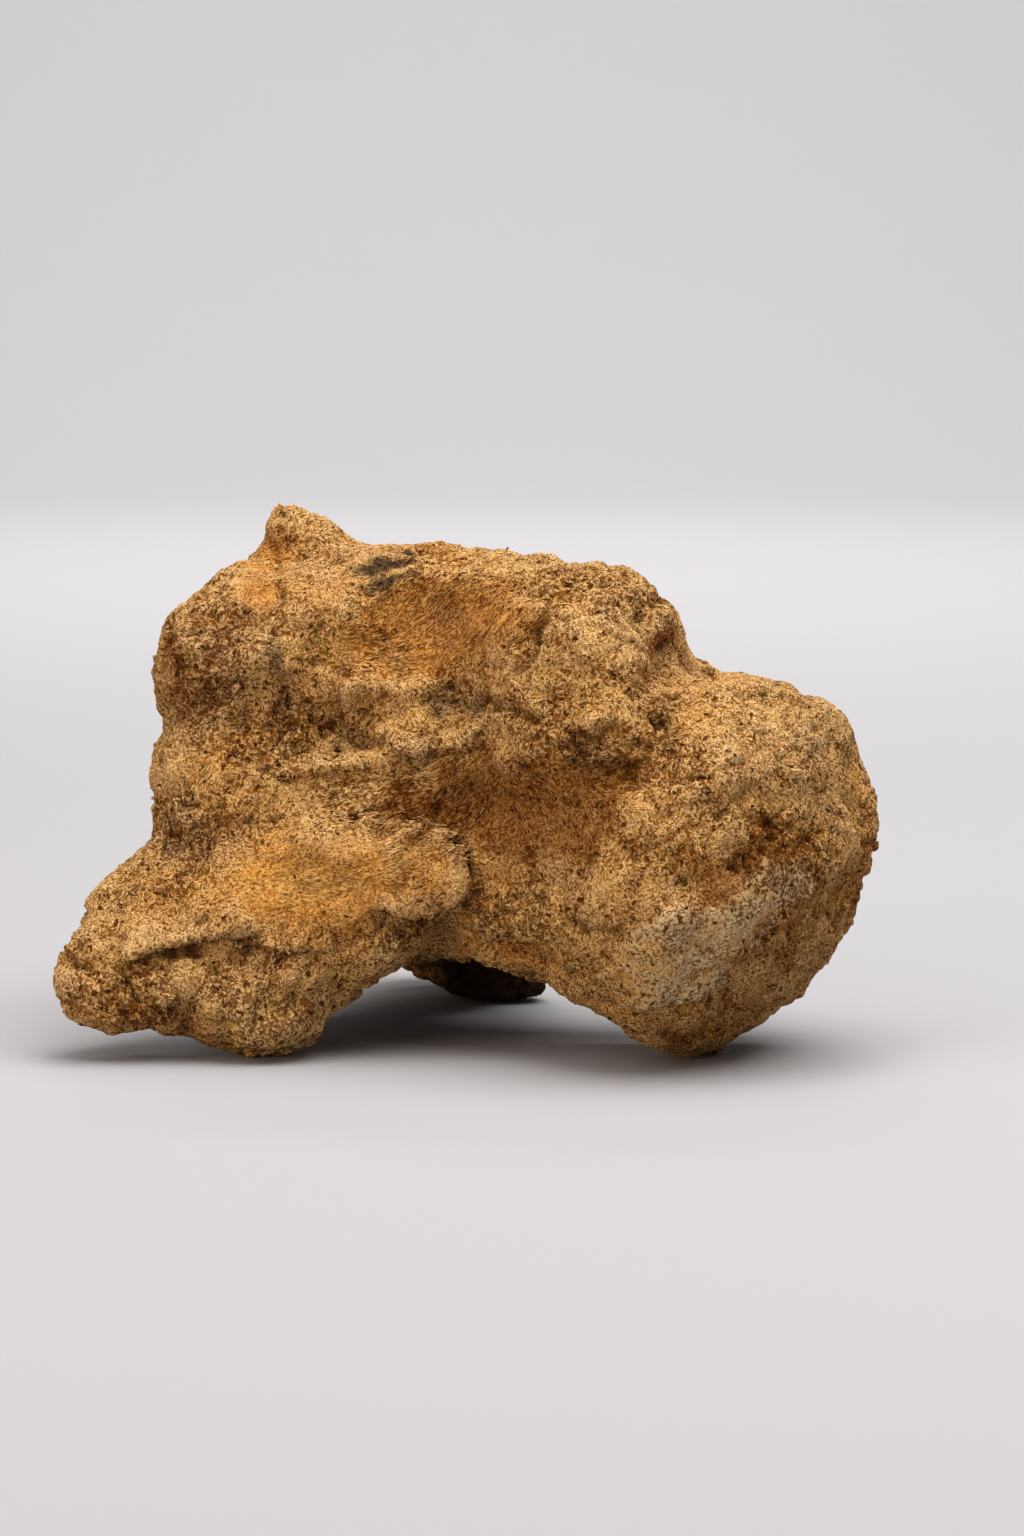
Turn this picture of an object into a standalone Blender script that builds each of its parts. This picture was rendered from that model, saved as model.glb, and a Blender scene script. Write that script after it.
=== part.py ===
"""Fossil mosasaur vertebra, one bone, resting on its two rib processes and the foot of its ball.

Metres, +Z up. The head end (the hollow cotyle) is towards -X and the ball-shaped condyle towards +X.
The bone's left side is towards -Y. Its neural arch, on top, is broken off above the roof of the canal.
"""

import math

import bmesh
import bpy
import numpy as np
from mathutils import Matrix, Vector, noise

MM = 0.001

# Driving sizes of the centrum, the spool between the two joint faces.
COTYLE_X = -32 * MM
WAIST_X = 4 * MM
CONDYLE_X = 33 * MM
CONDYLE_DEPTH = 21.5 * MM
CONDYLE_LIFT = 6 * MM
COTYLE_HALF_WIDTH = 29.5 * MM
COTYLE_HALF_HEIGHT = 22.5 * MM
COTYLE_DEPTH = 12.5 * MM
DISH_OVERHANG = 3 * MM
RIM_WIDTH = 4 * MM
WAIST_HALF_WIDTH = 19 * MM
WAIST_HALF_HEIGHT = 19.5 * MM
CONDYLE_HALF_WIDTH = 27 * MM
CONDYLE_HALF_HEIGHT = 24.5 * MM
COTYLE_Z = 29 * MM
WAIST_Z = 30 * MM
CONDYLE_Z = 24.6 * MM

# How square the cross-sections are: 2 is an ellipse, and more is nearer to a rectangle.
CENTRUM_SQUARENESS = 2.1
BLADE_SQUARENESS = 2.3
ARCH_SQUARENESS = 3

# The neural arch, broken off just above the roof of the canal. The rock that fills the canal ends a little
# way in at the front, and nearly level with the bone at the rear.
ARCH_FOOT_Z = 42 * MM
CANAL_HALF_WIDTH = 7.5 * MM
CANAL_HALF_HEIGHT = 4 * MM
CANAL_FRONT = (-42 * MM, 0, 54 * MM)
CANAL_FRONT_REACH = 10 * MM
CANAL_REAR = (31 * MM, 3 * MM, 54 * MM)
CANAL_REAR_REACH = 5.5 * MM

# Each flank is described as it is seen square on from a rear quarter, this far round from the side.
FLANK_ANGLE = math.radians(29)
NEAR_SIDE = -1
FAR_SIDE = 1

# The edges of broken plates wander in and out with lumps this wide, and by up to this much. Each edge rises
# over this width, and dies away over this distance from its ends.
EDGE_WANDER = 5.5 * MM
EDGE_STRAY = 1.0 * MM
EDGE_RISE = 1.0 * MM
EDGE_FADE = 2.5 * MM

# Flaked levels change over this share of their noise. The feet, below this height, keep their soft shape.
FLAKE_EDGE = 0.2
FOOT_HEIGHT = 5 * MM

# Fineness of the build.
FUSE_VOXEL = 1.0 * MM
SOLID_TRIANGLES = 11400
FLOOR_BLOCK = 300 * MM


def mm(*sizes):
    """Sizes given in millimetres, as a point or vector in metres."""
    return tuple(size * MM for size in sizes)


def clear_scene():
    for old in list(bpy.data.objects):
        bpy.data.objects.remove(old)


def eased(x, knots, values):
    """A smooth cubic curve through the values at the knots."""
    knots = np.asarray(knots, float)
    values = np.asarray(values, float)
    slopes = np.gradient(values, knots)
    i = np.clip(np.searchsorted(knots, x) - 1, 0, len(knots) - 2)
    width = knots[i + 1] - knots[i]
    t = (x - knots[i]) / width
    start = (2 * t**3 - 3 * t**2 + 1) * values[i] + (t**3 - 2 * t**2 + t) * width * slopes[i]
    end = (3 * t**2 - 2 * t**3) * values[i + 1] + (t**3 - t**2) * width * slopes[i + 1]
    return start + end


def faded(amount):
    """Goes from 0 to 1 with no kink at either end."""
    amount = np.clip(amount, 0, 1)
    return amount * amount * (3 - 2 * amount)


def new_piece(name, bm, pieces):
    bmesh.ops.recalc_face_normals(bm, faces=bm.faces)
    mesh = bpy.data.meshes.new(name)
    bm.to_mesh(mesh)
    bm.free()
    piece = bpy.data.objects.new(name, mesh)
    piece.hide_render = True
    piece.display_type = "WIRE"
    pieces.objects.link(piece)
    return piece


def blob(name, centre, radii, pieces, turn=(0, 0, 0)):
    """An ellipsoid. The turn is in degrees about X, Y and Z."""
    bm = bmesh.new()
    spin = Matrix.Identity(4)
    for axis, angle in zip("XYZ", turn):
        spin = Matrix.Rotation(math.radians(angle), 4, axis) @ spin
    place = Matrix.Translation(centre) @ spin @ Matrix.Diagonal((*radii, 1))
    bmesh.ops.create_icosphere(bm, subdivisions=4, radius=1, matrix=place)
    return new_piece(name, bm, pieces)


def loft(name, rings, pieces):
    """A closed skin over rings of points, all with as many points."""
    bm = bmesh.new()
    rows = [[bm.verts.new(point) for point in ring] for ring in rings]
    for low, high in zip(rows, rows[1:]):
        for a, b, c, d in zip(low, low[1:] + low[:1], high[1:] + high[:1], high):
            bm.faces.new((a, b, c, d))
    bm.faces.new(rows[0])
    bm.faces.new(reversed(rows[-1]))
    return new_piece(name, bm, pieces)


def oval(centre, across, up, squareness, count=40):
    """A ring of points around a centre."""
    ring = []
    for i in range(count):
        angle = 2 * math.pi * i / count
        c, s = math.cos(angle), math.sin(angle)
        x = math.copysign(abs(c) ** (2 / squareness), c)
        y = math.copysign(abs(s) ** (2 / squareness), s)
        ring.append(Vector(centre) + x * Vector(across) + y * Vector(up))
    return ring


def limb(name, stations, pieces, steps=16, cap_length=0.8):
    """A blade lofted through stations: (centre, half of its width as a vector, half of its thickness)."""
    marks = np.linspace(0, 1, len(stations))

    def between(t, pick):
        return Vector([eased(t, marks, [pick(station)[axis] for station in stations]) for axis in range(3)])

    rings = []
    for t in np.linspace(0, 1, steps + 1):
        centre = between(t, lambda station: station[0])
        wide = between(t, lambda station: station[1])
        ahead = between(min(t + 0.04, 1), lambda station: station[0])
        behind = between(max(t - 0.04, 0), lambda station: station[0])
        along = (ahead - behind).normalized()
        thick = along.cross(wide).normalized() * eased(t, marks, [station[2] for station in stations])
        rings.append(oval(centre, wide, thick, BLADE_SQUARENESS))
    reach = thick.length * cap_length
    for angle in np.linspace(0, math.pi / 2, 7)[1:-1]:
        tip = centre + along * reach * math.sin(angle)
        shrink = math.cos(angle)
        rings.append(oval(tip, wide * shrink, thick * shrink, BLADE_SQUARENESS))
    return loft(name, rings, pieces)


def centrum(pieces):
    """The spool of the centrum, with the ball of the condyle at its +X end."""
    knots = (COTYLE_X, COTYLE_X + RIM_WIDTH, -12 * MM, WAIST_X, 19 * MM, CONDYLE_X)
    widths = (COTYLE_HALF_WIDTH, COTYLE_HALF_WIDTH, 22 * MM, WAIST_HALF_WIDTH, 21.5 * MM, CONDYLE_HALF_WIDTH)
    heights = (COTYLE_HALF_HEIGHT, COTYLE_HALF_HEIGHT, 20 * MM, WAIST_HALF_HEIGHT, 22 * MM)
    heights += (CONDYLE_HALF_HEIGHT,)
    middles = (COTYLE_Z, COTYLE_Z, 30 * MM, WAIST_Z, 28 * MM, CONDYLE_Z)
    rings = []
    for x in np.linspace(COTYLE_X, CONDYLE_X, 28):
        centre = (x, 0, eased(x, knots, middles))
        across = (0, eased(x, knots, widths), 0)
        up = (0, 0, eased(x, knots, heights))
        rings.append(oval(centre, across, up, CENTRUM_SQUARENESS))
    for angle in np.linspace(0, math.pi / 2, 13)[1:-1]:
        out, shrink = math.sin(angle), math.cos(angle)
        centre = (CONDYLE_X + CONDYLE_DEPTH * out, 0, CONDYLE_Z + CONDYLE_LIFT * out)
        across = (0, CONDYLE_HALF_WIDTH * shrink, 0)
        up = (0, 0, CONDYLE_HALF_HEIGHT * shrink)
        rings.append(oval(centre, across, up, CENTRUM_SQUARENESS))
    loft("centrum", rings, pieces)
    blob("condyle_foot", mm(31.5, 1, 8.2), mm(8.5, 6.5, 8.9), pieces)


def rib_processes(pieces):
    """The synapophyses, broad blades that run outwards, forwards and down from the sides of the centrum."""
    near = (
        (mm(-13, -11, 30), mm(21, 0, 3), 13 * MM),
        (mm(-19.5, -25, 17.5), mm(21, 4.5, -2.5), 9.5 * MM),
        (mm(-26.5, -35, 8.5), mm(13.5, 6, -4.5), 7.5 * MM),
    )
    limb("rib_process_near", near, pieces)
    blob("front_lobe_near", mm(-33.5, -39, 9), mm(8, 6.5, 6), pieces, (0, 12, 0))
    blob("foot_near", mm(-17, -27, 4.7), mm(7.5, 6, 5.5), pieces)
    far = (
        (mm(-14, 11, 29), mm(20, 0, 3), 13 * MM),
        (mm(-18, 24, 17.5), mm(18, -4, -2), 9.5 * MM),
        (mm(-22, 33, 7.5), mm(13, -5, -3), 8.5 * MM),
    )
    limb("rib_process_far", far, pieces)
    blob("foot_far", mm(-13, 29, 4.5), mm(9, 6, 5.5), pieces)


def neural_arch(pieces):
    """The two pedicles and the roof over the canal, with the broken base of the spine along it."""
    knots = mm(-37.5, -28, -12, 4, 17, 24.5)
    half_width = mm(14, 15, 14, 13, 14, 11)
    top = mm(61, 63.8, 64.6, 64, 63.2, 58.8)
    rings = []
    for x in np.linspace(knots[0], knots[-1], 24):
        high = eased(x, knots, top)
        centre = (x, 0, (ARCH_FOOT_Z + high) / 2)
        across = (0, eased(x, knots, half_width), 0)
        rings.append(oval(centre, across, (0, 0, (high - ARCH_FOOT_Z) / 2), ARCH_SQUARENESS))
    loft("neural_arch", rings, pieces)
    blob("arch_end", mm(19.5, 0, 54.5), mm(8, 9, 8.5), pieces)
    blob("spine_base", mm(-1, 2, 62), mm(24, 5, 3.6), pieces)
    spur = (
        (mm(-21, 1, 58), mm(12, 0, 1), 6 * MM),
        (mm(-27, 1, 65), mm(6.5, 0, 1), 4 * MM),
        (mm(-30, 1, 69.6), mm(2.6, 0, 0.4), 2.5 * MM),
    )
    limb("roof_spur", spur, pieces)


def arch_stumps(pieces):
    """The broken stumps of the joint processes at the four corners of the arch, and the cheeks under them."""
    blob("front_stump_near", mm(-27, -16, 50.5), mm(13.3, 10.5, 11.5), pieces)
    blob("front_stump_far", mm(-28, 16, 50), mm(11, 9, 11), pieces)
    blob("arch_wall_near", mm(-13, -11.5, 52), mm(15, 9, 11), pieces, (0, 0, 12))
    blob("arch_wall_far", mm(-13, 11.5, 51), mm(14, 8, 11), pieces, (0, 0, -12))
    blob("front_cheek_near", mm(-26.3, -20.5, 31.5), mm(11, 10, 16), pieces)
    blob("front_cheek_far", mm(-25, 19, 37), mm(10, 9.5, 16), pieces)
    blob("rear_stump_near", mm(19, -10, 50), mm(11, 10, 13), pieces, (0, -20, 0))
    blob("rear_cheek_near", mm(25, -14, 38), mm(12, 10, 15), pieces, (0, -25, 0))
    blob("rear_stump_far", mm(14.5, 10, 50), mm(9, 8, 11), pieces)
    blob("rear_cheek_far", mm(24, 14, 37), mm(12, 9, 14), pieces, (0, -25, 0))


def shape_of(obj):
    """The object's mesh with its modifiers applied."""
    graph = bpy.context.evaluated_depsgraph_get()
    return bpy.data.meshes.new_from_object(obj.evaluated_get(graph))


def apply_modifiers(obj):
    mesh = shape_of(obj)
    obj.modifiers.clear()
    obj.data = mesh


def fuse(pieces, name):
    """Joins the pieces by one Boolean union, then melts the joins together."""
    objects = list(pieces.objects)
    bone = objects[0]
    pieces.objects.unlink(bone)
    bpy.context.scene.collection.objects.link(bone)
    bone.hide_render = False
    bone.display_type = "TEXTURED"
    union = bone.modifiers.new("union", "BOOLEAN")
    union.operation = "UNION"
    union.solver = "MANIFOLD"
    union.operand_type = "COLLECTION"
    union.collection = pieces
    apply_modifiers(bone)
    for used in objects[1:]:
        bpy.data.objects.remove(used)
    bone.name = name
    bone.data.name = name
    remesh = bone.modifiers.new("even_skin", "REMESH")
    remesh.mode = "VOXEL"
    remesh.voxel_size = FUSE_VOXEL
    smooth = bone.modifiers.new("melt", "SMOOTH")
    smooth.factor = 0.5
    smooth.iterations = 30
    apply_modifiers(bone)
    return bone


def cut_away(bone, cutter):
    """Cuts one closed shape from the bone."""
    cut = bone.modifiers.new(cutter.name, "BOOLEAN")
    cut.operation = "DIFFERENCE"
    cut.solver = "MANIFOLD"
    cut.object = cutter
    apply_modifiers(bone)
    bpy.data.objects.remove(cutter)


def joint_hollows(bone, pieces):
    """The dish of the cotyle, and the two ends of the neural canal, filled nearly level by rock."""
    dish_centre = (COTYLE_X - DISH_OVERHANG, 0, COTYLE_Z)
    dish_half_width = COTYLE_HALF_WIDTH - RIM_WIDTH - 1.5 * MM
    dish_radii = (COTYLE_DEPTH + DISH_OVERHANG, dish_half_width, COTYLE_HALF_HEIGHT - RIM_WIDTH)
    cut_away(bone, blob("cotyle", dish_centre, dish_radii, pieces))
    front_radii = (CANAL_FRONT_REACH, CANAL_HALF_WIDTH, CANAL_HALF_HEIGHT)
    cut_away(bone, blob("canal_front", CANAL_FRONT, front_radii, pieces))
    rear_radii = (CANAL_REAR_REACH, CANAL_HALF_WIDTH, CANAL_HALF_HEIGHT)
    cut_away(bone, blob("canal_rear", CANAL_REAR, rear_radii, pieces))


class Skin:
    """The points of the bone's surface, the way each faces, and the moves made to them."""

    def __init__(self, mesh):
        count = len(mesh.vertices)
        self.mesh = mesh
        self.points = np.empty(count * 3)
        self.normals = np.empty(count * 3)
        mesh.vertices.foreach_get("co", self.points)
        mesh.vertex_normals.foreach_get("vector", self.normals)
        self.points = self.points.reshape(-1, 3)
        self.normals = self.normals.reshape(-1, 3)
        self.start = self.points.copy()
        self.wander = self.lumps(EDGE_WANDER)

    def lumps(self, grain):
        """A smooth noise from about -1 to 1 whose lumps are about one grain wide."""
        return np.array([noise.noise(Vector(point) / grain) for point in self.start])

    def swell(self, side, at, size, height, turn=0, margin=1.0, ragged=0.0):
        """Raises an oval patch of a flank, or sinks it where the height is negative.

        at is its place along the flank and up, and the turn in degrees tips its long axis up towards +X.
        A margin of 1 fades from the middle out, and a small one gives a level patch with a steep edge.
        A ragged patch has an edge that wanders in and out by that share of its size.
        """
        c, s = math.cos(FLANK_ANGLE), math.sin(FLANK_ANGLE)
        out = np.array((s, side * c, 0))
        along = self.start @ np.array((c, -side * s, 0)) - at[0] * MM
        up = self.start[:, 2] - at[1] * MM
        tip = math.radians(turn)
        first = (along * math.cos(tip) + up * math.sin(tip)) / (size[0] * MM)
        second = (up * math.cos(tip) - along * math.sin(tip)) / (size[1] * MM)
        reach = 1 - np.hypot(first, second) + ragged * self.wander
        patch = faded(reach / margin) * faded(self.normals @ out * 2)
        self.points += patch[:, None] * height * MM * out

    def break_edge(self, side, line, height, reach):
        """A broken edge along a line of places on a flank, in millimetres like its height and its reach.

        The bone on the left of the line is raised, by less and less over the reach.
        """
        c, s = math.cos(FLANK_ANGLE), math.sin(FLANK_ANGLE)
        out = np.array((s, side * c, 0))
        along = (self.start @ np.array((c, -side * s, 0)) + self.wander * EDGE_STRAY) / MM
        up = (self.start[:, 2] + self.wander * EDGE_STRAY / 2) / MM
        length = sum(math.dist(start, end) for start, end in zip(line, line[1:]))
        nearest = np.full(len(along), math.inf)
        left, inner = np.zeros(len(along)), np.zeros(len(along))
        passed = 0
        for start, end in zip(line, line[1:]):
            run, rise = end[0] - start[0], end[1] - start[1]
            step = math.hypot(run, rise)
            share = np.clip(((along - start[0]) * run + (up - start[1]) * rise) / step**2, 0, 1)
            off_along, off_up = along - start[0] - share * run, up - start[1] - share * rise
            distance = np.hypot(off_along, off_up)
            closer = distance < nearest
            nearest[closer] = distance[closer]
            left[closer] = np.copysign(distance, run * off_up - rise * off_along)[closer]
            reached = passed + share * step
            inner[closer] = np.minimum(reached, length - reached)[closer]
            passed += step
        edge = faded(left * MM / EDGE_RISE + 0.5) * faded(inner * MM / EDGE_FADE)
        edge *= np.exp(-np.maximum(left, 0) / reach) * faded(self.normals @ out * 2)
        self.points += edge[:, None] * height * MM * out

    def weather(self, grain, height, where=1.0):
        """Works the surface up and down by a smooth noise whose lumps are about one grain wide."""
        self.points += (self.lumps(grain) * height * where)[:, None] * self.normals

    def flake(self, grain, height, where=1.0):
        """Leaves two levels with steep edges between them, as where thin flakes have come off."""
        level = faded(self.lumps(grain) / FLAKE_EDGE + 0.5) - 0.5
        self.points += (level * height * where)[:, None] * self.normals

    def near_to(self, centre, radius):
        """1 within about half of the radius of the centre, fading to 0 at the radius."""
        return faded(2 * (1 - np.linalg.norm(self.start - np.array(centre), axis=1) / radius))

    def finish(self):
        self.mesh.vertices.foreach_set("co", self.points.ravel())
        self.mesh.update()


def near_flank_relief(skin):
    """The left flank: its hollows, plates and ridges, as breakage and weathering have left them."""
    side = NEAR_SIDE
    skin.swell(side, at=(-5, 56.5), size=(15, 8.5), height=-2.8, turn=18)
    skin.swell(side, at=(-27, 62), size=(6, 5), height=-1.2, turn=35)
    skin.swell(side, at=(-9, 45.5), size=(10, 5), height=1.9, turn=-16, margin=0.45, ragged=0.4)
    skin.swell(side, at=(-19, 44), size=(5, 4), height=-1.8, turn=-30)
    skin.swell(side, at=(-28, 42.5), size=(10, 5.5), height=-1.6, turn=-8)
    skin.swell(side, at=(-14.5, 38.5), size=(16, 3.2), height=1.8, turn=12, ragged=0.3)
    skin.swell(side, at=(3, 34.5), size=(16, 8), height=-4.2, turn=14)
    skin.swell(side, at=(-20, 24.5), size=(21, 9), height=2.0, turn=6, margin=0.7, ragged=0.25)
    skin.swell(side, at=(-7, 18.5), size=(8, 2.5), height=-1.2, turn=8)
    skin.swell(side, at=(-46, 9), size=(8, 6), height=1.6, margin=0.6, ragged=0.3)
    skin.swell(side, at=(-27.5, 8), size=(9, 6.5), height=1.6, margin=0.5, ragged=0.4)
    skin.swell(side, at=(-37, 7), size=(6, 3), height=-2.4, turn=70, ragged=0.3)
    skin.swell(side, at=(19, 53), size=(10.5, 10.5), height=2.2, margin=0.6, ragged=0.4)
    skin.swell(side, at=(7, 56), size=(7, 3), height=-2.2, turn=60, ragged=0.4)
    skin.swell(side, at=(19, 41.5), size=(11, 5.5), height=-1.8, turn=10)
    skin.swell(side, at=(7, 15.5), size=(7, 3.4), height=-1.8, turn=-5, ragged=0.3)
    skin.swell(side, at=(29, 20), size=(16, 5.5), height=0.7, turn=28, margin=0.3, ragged=0.3)
    plate_end = ((-17, 51), (-17.6, 47.5), (-16.6, 43.6), (-12.5, 41.6), (-8, 39.8), (-2, 40.6), (3, 42.4))
    skin.break_edge(side, plate_end, height=1.4, reach=4)
    flake_end = ((-15, 20.2), (-8, 19.6), (-4, 20.2), (-1.4, 23.2), (-1.6, 28), (-5, 30.8), (-13, 31.4))
    skin.break_edge(side, flake_end, height=2.0, reach=4)
    skin.break_edge(side, ((-47, 13.2), (-39.3, 15.3), (-34, 16.6), (-27, 17.6)), height=1.3, reach=2.5)
    skin.break_edge(side, ((-33, 15.4), (-28, 16), (-22, 14.4)), height=1.2, reach=2.5)
    skin.break_edge(side, ((-24, 36.8), (-14, 38.4), (-6, 40.6)), height=1.0, reach=3)
    skin.break_edge(side, ((8, 62.5), (14, 62.8), (22, 60)), height=-1.2, reach=3)


def far_flank_relief(skin):
    """The right flank has the same hollows and plates, less broken."""
    side = FAR_SIDE
    skin.swell(side, at=(-4, 56), size=(14, 8), height=-2.8, turn=18)
    skin.swell(side, at=(3, 34), size=(15, 8), height=-3.8, turn=12)
    skin.swell(side, at=(-13, 39.5), size=(15, 3.2), height=1.5, turn=10)
    skin.swell(side, at=(-20, 24), size=(17, 7.5), height=1.6, turn=6, margin=0.4)
    skin.swell(side, at=(-27, 43), size=(9, 5), height=-1.5, turn=-8)
    skin.swell(side, at=(17, 53), size=(9, 9), height=1.6, margin=0.7)
    skin.swell(side, at=(-44, 8.5), size=(7, 5.5), height=1.3, margin=0.6)
    skin.swell(side, at=(-35, 7), size=(6, 2.5), height=-2, turn=68)
    skin.swell(side, at=(20, 41), size=(10, 5), height=-1.5, turn=8)
    skin.break_edge(side, ((-14, 20), (-5, 20.5), (-2.5, 25), (-6, 30), (-13, 31)), height=1.2, reach=4)


def weathering(skin):
    """Soft lumps and flaked levels all over but for the feet, and rougher broken ends.

    The broken ends are those of the stumps, of the spine's base and of the ribs' processes.
    """
    skin.weather(11 * MM, 0.9 * MM)
    skin.weather(5 * MM, 0.45 * MM)
    above_feet = faded((skin.start[:, 2] - FOOT_HEIGHT) / FOOT_HEIGHT)
    skin.weather(7 * MM, -1.1 * MM, above_feet)
    skin.flake(9 * MM, 0.9 * MM, above_feet)
    broken = skin.near_to(mm(-30, -20, 52), 22 * MM) + skin.near_to(mm(-30, 20, 52), 22 * MM)
    broken += skin.near_to(mm(-32, -40, 8), 22 * MM) + skin.near_to(mm(-28, 38, 8), 22 * MM)
    broken += skin.near_to(mm(8, 2, 66), 24 * MM) + skin.near_to(mm(22, 0, 60), 16 * MM)
    skin.weather(3.2 * MM, 0.9 * MM, np.clip(broken, 0, 1))


def thin_out(bone):
    """Brings the bone down to the triangle count of the finished solid."""
    bone.data.calc_loop_triangles()
    fewer = bone.modifiers.new("fewer", "DECIMATE")
    fewer.ratio = SOLID_TRIANGLES / len(bone.data.loop_triangles)
    fewer.use_collapse_triangulate = True
    apply_modifiers(bone)


def sit_on_floor(bone, pieces):
    """Cuts the bone off level at z = 0, which leaves a small flat under each of its three feet."""
    bm = bmesh.new()
    bmesh.ops.create_cube(bm, size=FLOOR_BLOCK, matrix=Matrix.Translation((0, 0, -FLOOR_BLOCK / 2)))
    cut_away(bone, new_piece("floor_block", bm, pieces))


def keep_largest_body(bone):
    """Drops every loose scrap, and every sealed hollow, by keeping the largest closed surface."""
    bm = bmesh.new()
    bm.from_mesh(bone.data)
    unseen = set(bm.verts)
    bodies = []
    while unseen:
        body = [unseen.pop()]
        for vert in body:
            for edge in vert.link_edges:
                other = edge.other_vert(vert)
                if other in unseen:
                    unseen.remove(other)
                    body.append(other)
        bodies.append(body)
    bodies.sort(key=len)
    scraps = [vert for body in bodies[:-1] for vert in body]
    bmesh.ops.delete(bm, geom=scraps, context="VERTS")
    bm.to_mesh(bone.data)
    bm.free()


def stand_over_origin(bone):
    """Puts the origin on the floor under the middle of the bone's box."""
    points = Skin(bone.data).points
    middle = (points.min(axis=0) + points.max(axis=0)) / 2
    bone.data.transform(Matrix.Translation((-middle[0], -middle[1], 0)))


def fossil_bone():
    """Ochre fossil bone, dull and mineral."""
    material = bpy.data.materials.new("fossil_bone")
    material.use_nodes = True
    shader = material.node_tree.nodes["Principled BSDF"]
    shader.inputs["Base Color"].default_value = (0.42, 0.24, 0.09, 1)
    shader.inputs["Roughness"].default_value = 0.85
    shader.inputs["Metallic"].default_value = 0
    return material


def main():
    clear_scene()
    pieces = bpy.data.collections.new("pieces")
    bpy.context.scene.collection.children.link(pieces)
    centrum(pieces)
    rib_processes(pieces)
    neural_arch(pieces)
    arch_stumps(pieces)
    bone = fuse(pieces, "vertebra")
    skin = Skin(bone.data)
    near_flank_relief(skin)
    far_flank_relief(skin)
    weathering(skin)
    skin.finish()
    joint_hollows(bone, pieces)
    thin_out(bone)
    sit_on_floor(bone, pieces)
    keep_largest_body(bone)
    stand_over_origin(bone)
    bpy.data.collections.remove(pieces)
    bone.data.materials.clear()
    bone.data.materials.append(fossil_bone())
    bone.data.shade_smooth()


main()
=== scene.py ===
import math

import bmesh
import bpy
import numpy as np
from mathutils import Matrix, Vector, noise


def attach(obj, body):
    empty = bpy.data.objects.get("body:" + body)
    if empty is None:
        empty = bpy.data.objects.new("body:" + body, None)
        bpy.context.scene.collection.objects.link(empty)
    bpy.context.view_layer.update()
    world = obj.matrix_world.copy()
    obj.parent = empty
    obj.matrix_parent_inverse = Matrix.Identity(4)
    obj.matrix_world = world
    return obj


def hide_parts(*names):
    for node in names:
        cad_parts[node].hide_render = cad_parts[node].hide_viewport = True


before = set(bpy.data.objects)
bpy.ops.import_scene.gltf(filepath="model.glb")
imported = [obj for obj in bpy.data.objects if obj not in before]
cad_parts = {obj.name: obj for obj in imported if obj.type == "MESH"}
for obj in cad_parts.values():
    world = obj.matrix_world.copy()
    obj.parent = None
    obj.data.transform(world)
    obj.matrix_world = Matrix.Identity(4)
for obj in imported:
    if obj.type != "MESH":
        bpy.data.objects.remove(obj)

# A fossil vertebra in a plain studio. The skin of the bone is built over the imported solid, in metres, +Z up.
# The head end is towards -X, the ball towards +X, and the left flank, which the camera sees, towards -Y.

MM = 0.001

# The bone's own origin is where the middle of the hollow cotyle's plane would meet the floor. All places on
# the bone below are measured from there, and this is where it lies in the frame.
BONE_ORIGIN = Vector((-6.882, 1.034, 0)) * MM

# The view: turned this far round from the left side towards the ball, and looking down by a few degrees.
VIEW_TURN = math.radians(29)
VIEW_TILT = math.radians(6.5)
EYE_DISTANCE = 0.75
IMAGE_WIDTH = 1024
IMAGE_HEIGHT = 1536
PIXELS_PER_MM = 7.45
ORIGIN_PIXEL = (477.5, 1035.4)

# Fineness of the skin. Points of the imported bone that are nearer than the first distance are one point.
MERGE_DISTANCE = 0.001 * MM
SKIN_VOXEL = 0.6 * MM
SKIN_SMOOTHING = 4

# Each point's place among its neighbours is evened this many times to find the hollows, which get painted
# shade, and the ridges, which get a painted highlight.
HOLLOW_ROUNDS = 60

# Sizes of the worn relief: broad lumps, flakes with steep edges, fine grain and pores.
RELIEF_SIZES = {
    "Lump size": 4.5 * MM,
    "Lump height": 0.7 * MM,
    "Flake size": 4 * MM,
    "Flake height": 0.4 * MM,
    "Grain size": 2.2 * MM,
    "Grain height": 1.1 * MM,
    "Pore size": 1.9 * MM,
    "Pore depth": 0.9 * MM,
}

# Sizes of a bone fibre, and how far its middle line lies above the skin. Less than 0 is sunk into it.
FIBRE_SIZES = {"Length": 1.4 * MM, "Thickness": 0.3 * MM, "Lift": -0.09 * MM}

# Broken edges and cracks die away over this distance from their ends, in mm.
LINE_FADE = 2.5

# Crevices lie about this far apart in mm, are this many times as long as that, and are this deep in mm.
CREVICE_GAP = 2.6
CREVICE_STRETCH = 2.8
CREVICE_DEPTH = 1.1

# Each flank is measured as it is seen square on from a rear quarter: how far along it, and how high, in mm.
NEAR_SIDE = -1
FAR_SIDE = 1
FLANK_COSINE = math.cos(VIEW_TURN)
FLANK_SINE = math.sin(VIEW_TURN)

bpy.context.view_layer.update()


def linear(hex_colour):
    """An sRGB hex colour as linear red, green, blue and alpha."""
    channels = [int(hex_colour[i : i + 2], 16) / 255 for i in (1, 3, 5)]
    return (*[c / 12.92 if c <= 0.04045 else ((c + 0.055) / 1.055) ** 2.4 for c in channels], 1)


def add(tree, kind, inputs=None, **settings):
    """Adds a node with its settings, and sets or links its inputs by name or number."""
    node = tree.nodes.new(kind)
    for name, value in settings.items():
        setattr(node, name, value)
    for key, value in (inputs or {}).items():
        if isinstance(value, bpy.types.NodeSocket):
            tree.links.new(value, node.inputs[key])
        else:
            node.inputs[key].default_value = value
    return node


# The camera and the studio.


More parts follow.
